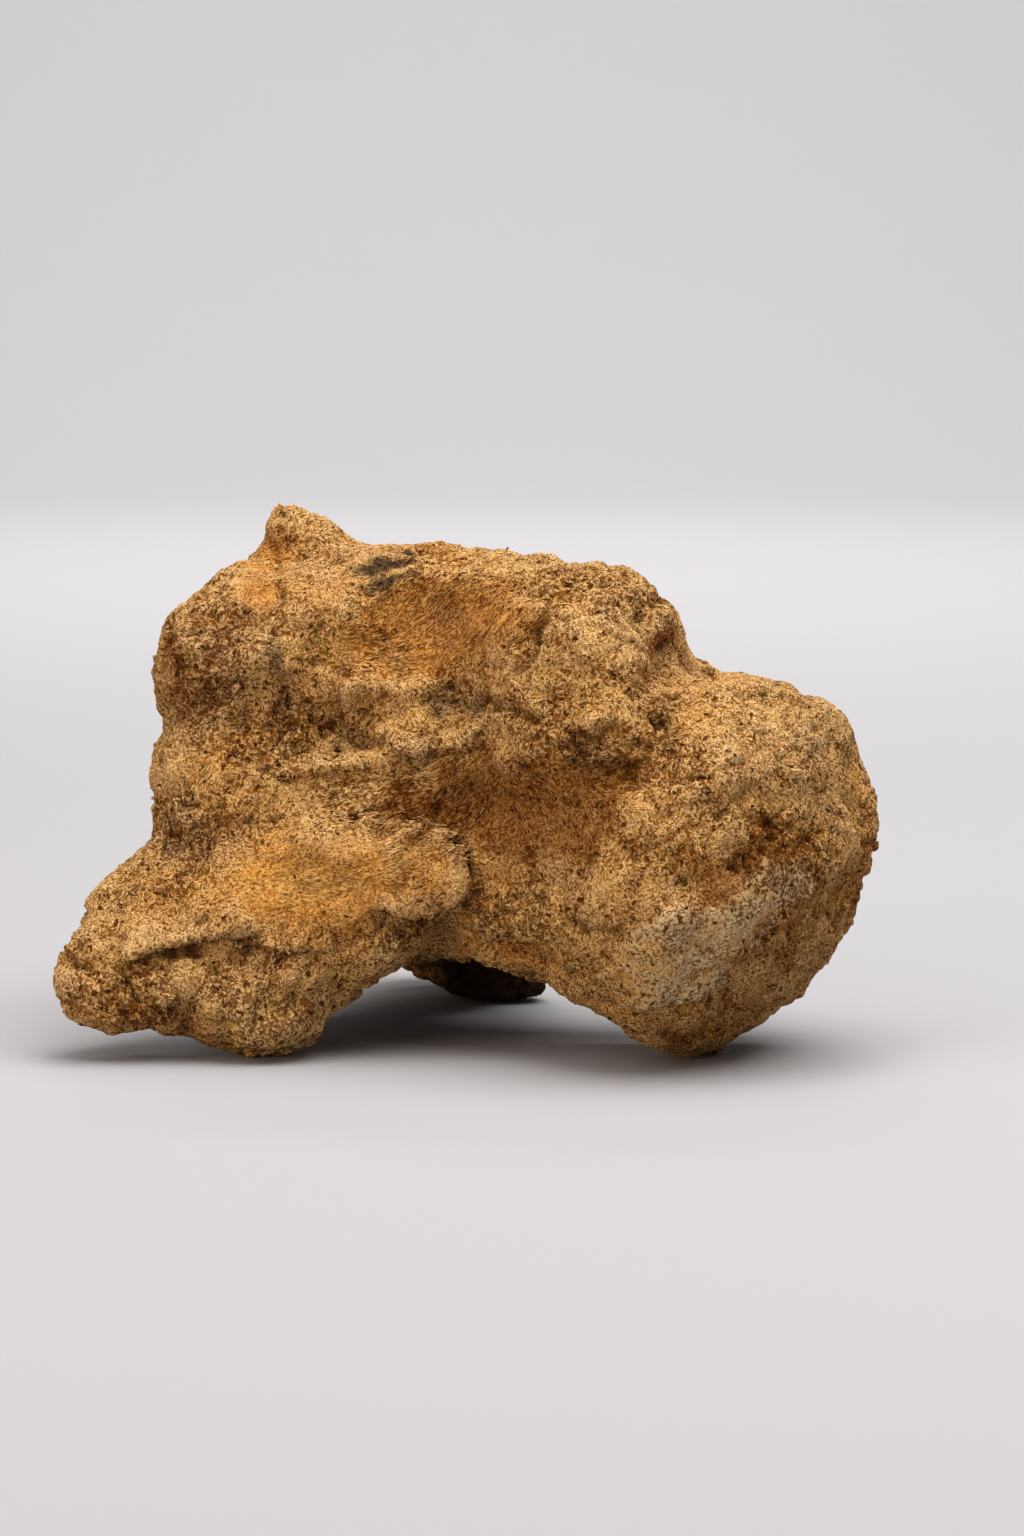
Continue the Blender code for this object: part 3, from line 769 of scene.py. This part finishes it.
def relief_tree(bone):
    """Geometry Nodes: moves the skin by its stored heights, and adds the lumps and pores of spongy bone."""
    tree, given = node_group("bone_relief", RELIEF_SIZES)
    place = add(tree, "GeometryNodeInputPosition").outputs[0]
    normal = add(tree, "GeometryNodeInputNormal").outputs[0]
    _, rock, open_bone = split(tree, attribute(tree, "marks", "FLOAT_VECTOR"))

    def scaled(size):
        """The place, measured in this size."""
        return vectors(tree, "SCALE", place, maths(tree, "DIVIDE", 1.0, size))

    rough = eased(tree, open_bone, 0.0, 0.8, 0.4, 1.2)
    rougher = eased(tree, open_bone, 0.0, 1.0, 0.35, 1.5)
    lumps = product(tree, swing(tree, scaled(given["Lump size"]), 1.0, 3.0), given["Lump height"], rough)
    steps = eased(tree, swing(tree, scaled(given["Flake size"]), 1.0, 3.0), -0.03, 0.03, -0.5, 0.5)
    flakes = product(tree, steps, rough, given["Flake height"])
    grain = product(tree, swing(tree, scaled(given["Grain size"]), 1.0, 2.0), given["Grain height"], rougher)

    warp = noise_at(tree, scaled(given["Pore size"]), 0.9, 2.0, "Color")
    warped = vectors(tree, "ADD", scaled(given["Pore size"]), vectors(tree, "SCALE", warp, 2.5))
    cells = add(tree, "ShaderNodeTexVoronoi", {"Vector": warped, "Scale": 1.0}).outputs
    lottery = split(tree, cells["Color"])[0]
    chosen = maths(tree, "LESS_THAN", lottery, eased(tree, open_bone, 0.25, 1.0, 0.04, 0.9))
    off_rock = maths(tree, "SUBTRACT", 1.0, rock)
    pores = eased(tree, cells["Distance"], 0.1, 0.6, 1.0, 0.0)
    pores = product(tree, pores, chosen, given["Pore depth"], off_rock)

    stored = maths(tree, "MULTIPLY", attribute(tree, "height"), MM)
    height = maths(tree, "ADD", maths(tree, "ADD", lumps, flakes), maths(tree, "ADD", grain, stored))
    height = maths(tree, "SUBTRACT", height, pores)
    moved = {"Geometry": given["Geometry"], "Offset": vectors(tree, "SCALE", normal, height)}
    worked = add(tree, "GeometryNodeSetPosition", moved).outputs[0]
    named = keep(tree, worked, "pore", maths(tree, "DIVIDE", pores, given["Pore depth"]))
    finished = add(tree, "GeometryNodeSetMaterial", {"Geometry": named, "Material": bone}).outputs[0]
    add(tree, "NodeGroupOutput", {0: finished})
    return tree


# The four points of a fibre's curve, which is about 1 long: (name, how far along, how high).
FIBRE_POINTS = (
    ("Start", -0.5, -0.08),
    ("Start Handle", -0.2, 0.06),
    ("End Handle", 0.2, 0.06),
    ("End", 0.5, -0.08),
)

# Bends of the single fibres: how far sideways each of the four points lies.
FIBRE_BENDS = (
    (0.0, 0.12, 0.12, 0.0),
    (0.1, -0.25, 0.25, -0.05),
    (0.0, 0.35, 0.3, -0.1),
    (-0.1, 0.1, -0.3, 0.05),
    (0.25, -0.1, -0.15, 0.3),
    (0.0, -0.4, -0.1, 0.1),
)


def fibre_tree(bone):
    """Geometry Nodes: covers the skin with short bent fibres, half sunk, that lie as the bone grew."""
    tree, given = node_group("bone_fibres", ("Spacing", *FIBRE_SIZES, "Seed"))
    tries = 1.6
    density = maths(tree, "DIVIDE", tries, maths(tree, "MULTIPLY", given["Spacing"], given["Spacing"]))
    spread = add(
        tree,
        "GeometryNodeDistributePointsOnFaces",
        {
            "Mesh": given["Geometry"],
            "Distance Min": given["Spacing"],
            "Density Max": density,
            "Density Factor": attribute(tree, "cover"),
            "Seed": given["Seed"],
        },
        distribute_method="POISSON",
    ).outputs
    shapes = add(tree, "GeometryNodeJoinGeometry")
    radius = maths(tree, "MULTIPLY", given["Thickness"], 0.5)
    section = add(tree, "GeometryNodeCurvePrimitiveCircle", {"Resolution": 3, "Radius": radius}).outputs[0]
    share = add(tree, "GeometryNodeSplineParameter").outputs["Factor"]
    from_middle = maths(tree, "ABSOLUTE", maths(tree, "SUBTRACT", share, 0.5))
    taper = eased(tree, from_middle, 0.2, 0.5, 1.0, 0.35)
    for bends in FIBRE_BENDS:
        ends = {}
        for (name, x, rise), sideways in zip(FIBRE_POINTS, bends):
            ends[name] = vectors(tree, "SCALE", (x, sideways, rise), given["Length"])
        curve = add(tree, "GeometryNodeCurvePrimitiveBezierSegment", {"Resolution": 4, **ends}).outputs[0]
        curve = add(tree, "GeometryNodeSetCurveRadius", {"Curve": curve, "Radius": taper}).outputs[0]
        closed_tube = {"Curve": curve, "Profile Curve": section, "Fill Caps": True}
        tube = add(tree, "GeometryNodeCurveToMesh", closed_tube).outputs[0]
        shape = add(tree, "GeometryNodeGeometryToInstance", {0: tube}).outputs[0]
        tree.links.new(shape, shapes.inputs[0])

    def chance(low, high, seed, kind="FLOAT"):
        """A number between two, drawn for each fibre."""
        node = add(tree, "FunctionNodeRandomValue", {"Seed": seed}, data_type=kind)
        ports = [port for port in node.inputs if port.enabled]
        ports[0].default_value, ports[1].default_value = low, high
        return next(port for port in node.outputs if port.enabled)

    def aligned(inputs, **settings):
        return add(tree, "FunctionNodeAlignRotationToVector", inputs, **settings).outputs[0]

    upright = aligned({"Vector": spread["Normal"]}, axis="Z")
    lie = attribute(tree, "lie", "FLOAT_VECTOR")
    along = aligned({"Rotation": upright, "Vector": lie}, axis="X", pivot_axis="Z")
    widest_stray = eased(tree, attribute(tree, "order"), 0.0, 0.9, 2.6, 0.22)
    stray = maths(tree, "MULTIPLY", chance(-1.0, 1.0, 1), widest_stray)
    turn = add(tree, "FunctionNodeAxisAngleToRotation", {"Axis": (0, 0, 1), "Angle": stray}).outputs[0]
    both = {"Rotation": along, "Rotate By": turn}
    turned = add(tree, "FunctionNodeRotateRotation", both, rotation_space="LOCAL").outputs[0]
    toned = keep(tree, spread["Points"], "tone", chance(0.2, 1.0, 2))
    lift = vectors(tree, "SCALE", spread["Normal"], given["Lift"])
    lifted = add(tree, "GeometryNodeSetPosition", {"Geometry": toned, "Offset": lift}).outputs[0]
    scale = chance(0.5, 1.2, 4)
    stretch = eased(tree, attribute(tree, "order"), 0.2, 0.9, 1.0, 1.8)
    long = maths(tree, "MULTIPLY", scale, stretch)
    slim = maths(tree, "DIVIDE", scale, maths(tree, "SQRT", stretch))
    placed = add(
        tree,
        "GeometryNodeInstanceOnPoints",
        {
            "Points": lifted,
            "Instance": shapes.outputs[0],
            "Pick Instance": True,
            "Instance Index": chance(0, len(FIBRE_BENDS) - 1, 3, "INT"),
            "Rotation": turned,
            "Scale": joined(tree, long, slim, slim),
        },
    ).outputs[0]
    real = add(tree, "GeometryNodeRealizeInstances", {"Geometry": placed}).outputs[0]
    finished = add(tree, "GeometryNodeSetMaterial", {"Geometry": real, "Material": bone}).outputs[0]
    add(tree, "NodeGroupOutput", {0: finished})
    return tree


# Where each lot of fibres grows: from this x to that, on this side of the bone, in mm from its origin, and
# how far apart the fibres are there.
FIBRE_LOTS = (
    ("fibres_left_rim", -60, -28, NEAR_SIDE, 0.42),
    ("fibres_left_head", -28, -13, NEAR_SIDE, 0.42),
    ("fibres_left_waist", -13, 13, NEAR_SIDE, 0.42),
    ("fibres_left_ball", 13, 60, NEAR_SIDE, 0.42),
    ("fibres_right_head", -60, -13, FAR_SIDE, 0.55),
    ("fibres_right_waist", -13, 13, FAR_SIDE, 0.55),
    ("fibres_right_ball", 13, 60, FAR_SIDE, 0.55),
)


def bone_fibres(skin_mesh, bone):
    """The lots of fibres, each a piece of its own."""
    tree = fibre_tree(bone)
    x, y = Skin(skin_mesh).points[:, :2].T
    cover = np.empty(len(x), np.float32)
    skin_mesh.attributes["cover"].data.foreach_get("value", cover)
    pieces = []
    for name, start, end, side, spacing in FIBRE_LOTS:
        here = (x >= start) & (x < end) & (y * side >= 0)
        piece = new_object(name, skin_mesh.copy())
        piece.data.attributes["cover"].data.foreach_set("value", cover * here)
        run_group(piece, tree, {**FIBRE_SIZES, "Spacing": spacing * MM, "Seed": float(len(pieces))})
        pieces.append(piece)
    return pieces


# The material.


# How many lumps of each noise in the bone's pattern there are to a millimetre.
MOTTLE_SCALE = 0.16
SWIRL_SCALE = 0.5
PIT_SCALE = 1.1
CURL_SCALE = 1.6
GAP_SCALE = 1.8
STREAK_SCALE = 2.1
GRAIN_SCALE = 2.6
DUST_SCALE = 3.4
THREAD_SCALE = 4.6

# Along the fibres the pattern has this share of the lumps that it has across them.
STREAK_SHARE = 0.3

# How deep the finest relief of the pattern looks.
BUMP_DEPTH = 0.18 * MM


def colour_mix(tree, amount, first, second):
    """A blend from the first colour to the second, each of them a hex colour or made by other nodes."""
    node = add(tree, "ShaderNodeMix", {0: amount}, data_type="RGBA")
    first_colour, second_colour, blend = node.inputs[6], node.inputs[7], node.outputs[2]
    for socket, colour in ((first_colour, first), (second_colour, second)):
        if isinstance(colour, bpy.types.NodeSocket):
            tree.links.new(colour, socket)
        else:
            socket.default_value = linear(colour)
    return blend


def rotated(tree, first, second, angle):
    """Two lengths square to each other, as measured after a turn by this angle in radians."""
    c, s = math.cos(angle), math.sin(angle)
    along = maths(tree, "ADD", product(tree, first, c), product(tree, second, s))
    across = maths(tree, "SUBTRACT", product(tree, second, c), product(tree, first, s))
    return along, across


def stored_marks(tree):
    """What is stored on the skin and on the fibres, each by its name."""

    def stored(name):
        return add(tree, "ShaderNodeAttribute", attribute_name=name).outputs

    hues, lies = stored("hues"), stored("lies")
    marks = {name: stored(name)["Fac"] for name in ("tone", "pore", "hollow", "seam_shadow")}
    marks.update(zip(("ochre", "brown", "grey"), split(tree, hues["Vector"])))
    marks.update(zip(("stain_and_shade", "rock", "open_bone"), split(tree, stored("marks")["Vector"])))
    marks["pale"] = hues["Alpha"]
    marks["shares"] = [*split(tree, lies["Vector"]), lies["Alpha"]]
    return marks


def bone_pattern(tree, marks):
    """The grain, fibres, gaps, pits and crystals of the bone, each by its name and from 0 to about 1."""
    place = vectors(tree, "SCALE", add(tree, "ShaderNodeTexCoord").outputs["Object"], 1 / MM)
    warp = vectors(tree, "SUBTRACT", noise_at(tree, place, SWIRL_SCALE, 1.0, "Color"), (0.5, 0.5, 0.5))
    swirled = vectors(tree, "ADD", place, vectors(tree, "SCALE", warp, 2.6))
    drifted = vectors(tree, "ADD", place, vectors(tree, "SCALE", warp, 1.3))

    # The fibres: streaks and threads where they lie in order, and curls and dust where they don't.
    x, y, z = split(tree, drifted)
    u, out = rotated(tree, x, maths(tree, "ABSOLUTE", y), -VIEW_TURN)
    streaks, threads, order = 0.0, 0.0, 0.0
    for share, angle in zip(marks["shares"], FIBRE_ANGLES):
        along, across = rotated(tree, u, z, math.radians(angle))
        lying = joined(tree, product(tree, along, STREAK_SHARE), across, out)
        streaks = maths(tree, "ADD", streaks, product(tree, swing(tree, lying, STREAK_SCALE), share))
        threads = maths(tree, "ADD", threads, product(tree, swing(tree, lying, THREAD_SCALE), share))
        order = maths(tree, "ADD", order, share)
    anyhow = maths(tree, "SUBTRACT", 1.0, order)
    streaks = maths(tree, "ADD", streaks, product(tree, swing(tree, swirled, CURL_SCALE), anyhow))
    dust = product(tree, swing(tree, place, DUST_SCALE, 1.0), anyhow)

    # The gaps between the fibres, wider where the bone is open, dark with painted shade, and their lips,
    # lighter with a painted highlight.
    from_gap = maths(tree, "ABSOLUTE", streaks)
    widest = eased(tree, marks["open_bone"], 0.1, 0.8, 0.07, 0.24)
    half_gap = eased(tree, noise_at(tree, place, GAP_SCALE, 1.0), 0.34, 0.68, -0.03, widest)
    gap = eased(tree, maths(tree, "SUBTRACT", half_gap, from_gap), -0.02, 0.08)
    lip_highlight = product(tree, eased(tree, from_gap, 0.05, 0.11), eased(tree, from_gap, 0.24, 0.12))

    # Ragged pits, more of them where the bone is open, dark with painted shade, and here and there a crystal.
    cells = add(tree, "ShaderNodeTexVoronoi", {"Vector": swirled, "Scale": PIT_SCALE}).outputs
    lottery = split(tree, cells["Color"])
    chosen = maths(tree, "LESS_THAN", lottery[0], eased(tree, marks["open_bone"], 0.1, 0.9, 0.08, 0.8))
    lucky = maths(tree, "GREATER_THAN", lottery[1], 0.975)
    edge = eased(tree, noise_at(tree, place, PIT_SCALE), 0.35, 0.65, 0.08, 0.38)
    pits = eased(tree, maths(tree, "SUBTRACT", edge, cells["Distance"]), -0.06, 0.06)
    # The pores cut into the relief get the same painted shade.
    pits = maths(tree, "MAXIMUM", product(tree, pits, chosen), marks["pore"])
    return {
        "mottle": noise_at(tree, place, MOTTLE_SCALE, 4.0),
        "grain": noise_at(tree, place, GRAIN_SCALE, 2.0),
        "speckle": maths(tree, "ADD", dust, threads),
        "streak": product(tree, order, eased(tree, streaks, 0.04, -0.1, 0.0, 0.5)),
        "gap": gap,
        "lip_highlight": lip_highlight,
        # The seams along broken edges and cracks are painted dark as lines of shadow.
        "pits": maths(tree, "MAXIMUM", pits, marks["seam_shadow"]),
        "crystals": product(tree, eased(tree, cells["Distance"], 0.06, 0.14, 1.0, 0.0), lucky),
    }


def mineral_colour(tree, marks, pattern):
    """The broad colours of the mineral, with nothing of its fine pattern; the brown and pale amounts carry
    some painted shade and light, and the hollows and ridges are painted darker and lighter.
    """
    colour = colour_mix(tree, eased(tree, marks["ochre"], 0.0, 1.0), "#c2903a", "#cd8614")
    for amount, none, full, most, hue in (
        (marks["grey"], 0.0, 1.0, 0.75, "#9d7c4c"),
        (marks["pale"], 0.0, 1.0, 0.6, "#e8b45c"),
        (marks["brown"], 0.0, 1.0, 0.85, "#855006"),
        (pattern["mottle"], 0.4, 0.65, 0.35, "#855008"),
        # Painted shade in the hollows, and a painted highlight on the ridges.
        (marks["hollow"], 0.1, 1.4, 0.6, "#784400"),
        (marks["hollow"], -0.3, -1.4, 0.45, "#ecbf7c"),
    ):
        colour = colour_mix(tree, eased(tree, amount, none, full, 0.0, most), colour, hue)
    return colour


def bone_colour(tree, marks, pattern):
    """The mineral's colour with all its pattern on it, from the grain up to the stains."""
    base = mineral_colour(tree, marks, pattern)
    grain, speckle, tone = pattern["grain"], pattern["speckle"], marks["tone"]
    stained = maths(tree, "MAXIMUM", marks["brown"], product(tree, marks["ochre"], 0.7))
    light = colour_mix(tree, eased(tree, stained, 0.0, 0.9, 0.65, 0.2), base, "#eccd9c")
    dark = colour_mix(tree, 0.88, base, "#522000")
    rock_colour = colour_mix(tree, eased(tree, grain, 0.3, 0.7), "#93744a", "#ccad82")
    rock_colour = colour_mix(tree, eased(tree, pattern["mottle"], 0.45, 0.6, 0.0, 0.6), rock_colour, base)
    ragged = product(tree, maths(tree, "SUBTRACT", grain, 0.5), 1.2)
    ragged_rock = maths(tree, "ADD", marks["rock"], ragged)
    colour = base
    for amount, shade in (
        (eased(tree, grain, 0.45, 0.7, 0.0, 0.6), light),
        (eased(tree, grain, 0.5, 0.28, 0.0, 0.45), dark),
        # Painted highlight on the lips of the gaps.
        (product(tree, pattern["lip_highlight"], 0.65), light),
        (pattern["streak"], dark),
        (eased(tree, tone, 0.0, 0.2, 0.35, 0.0), dark),
        (product(tree, tone, 0.65), light),
        (eased(tree, speckle, 0.0, -0.15, 0.0, 0.65), dark),
        (eased(tree, speckle, 0.0, 0.15, 0.0, 0.7), light),
        (eased(tree, ragged_rock, 0.3, 0.6), rock_colour),
        # Painted shade in the gaps between the fibres.
        (product(tree, pattern["gap"], 0.85), dark),
        # Painted shade in the pits, the pores and the seams.
        (product(tree, pattern["pits"], 0.9), "#432004"),
        (product(tree, pattern["crystals"], 0.8), "#f6e8cc"),
        # Black mineral stains, and painted shade on the far underside.
        (product(tree, marks["stain_and_shade"], 0.9), "#261b10"),
    ):
        colour = colour_mix(tree, amount, colour, shade)
    return colour


def bone_material():
    """Fossil bone: dull mineral, with painted shade in its gaps and pits and light on its fibres, like a dry
    and brittle sponge.
    """
    bone = bpy.data.materials.new("phosphatised_bone")
    bone.use_nodes = True
    tree = bone.node_tree
    shader = tree.nodes["Principled BSDF"]
    marks = stored_marks(tree)
    pattern = bone_pattern(tree, marks)
    grain, gap, pits = pattern["grain"], pattern["gap"], pattern["pits"]
    tree.links.new(bone_colour(tree, marks, pattern), shader.inputs["Base Color"])
    tree.links.new(eased(tree, grain, 0.2, 0.8, 0.95, 0.7), shader.inputs["Roughness"])
    sunk = maths(tree, "MAXIMUM", gap, pits)
    tree.links.new(eased(tree, sunk, 0.0, 1.0, 0.1, 0.0), shader.inputs["Specular IOR Level"])
    height = maths(tree, "ADD", product(tree, grain, 0.6), product(tree, pattern["speckle"], 0.6))
    height = maths(tree, "SUBTRACT", height, product(tree, gap, 0.6))
    height = maths(tree, "SUBTRACT", height, pits)
    bump = add(tree, "ShaderNodeBump", {"Height": height, "Distance": BUMP_DEPTH, "Strength": 1.0})
    tree.links.new(bump.outputs["Normal"], shader.inputs["Normal"])
    return bone


def main():
    place_camera()
    studio()
    studio_light()
    bone = bone_material()
    skin = bone_blank()
    lay_out(Skin(skin.data))
    run_group(skin, relief_tree(bone), RELIEF_SIZES)
    worked = Skin(skin.data)
    # How hollow each point is, for the painted shade in hollows and the painted highlight on ridges.
    worked.store("hollow", hollowness(worked))
    pieces = bone_fibres(skin.data, bone)
    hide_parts("vertebra")
    for piece in (skin, *pieces):
        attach(piece, "root")


main()
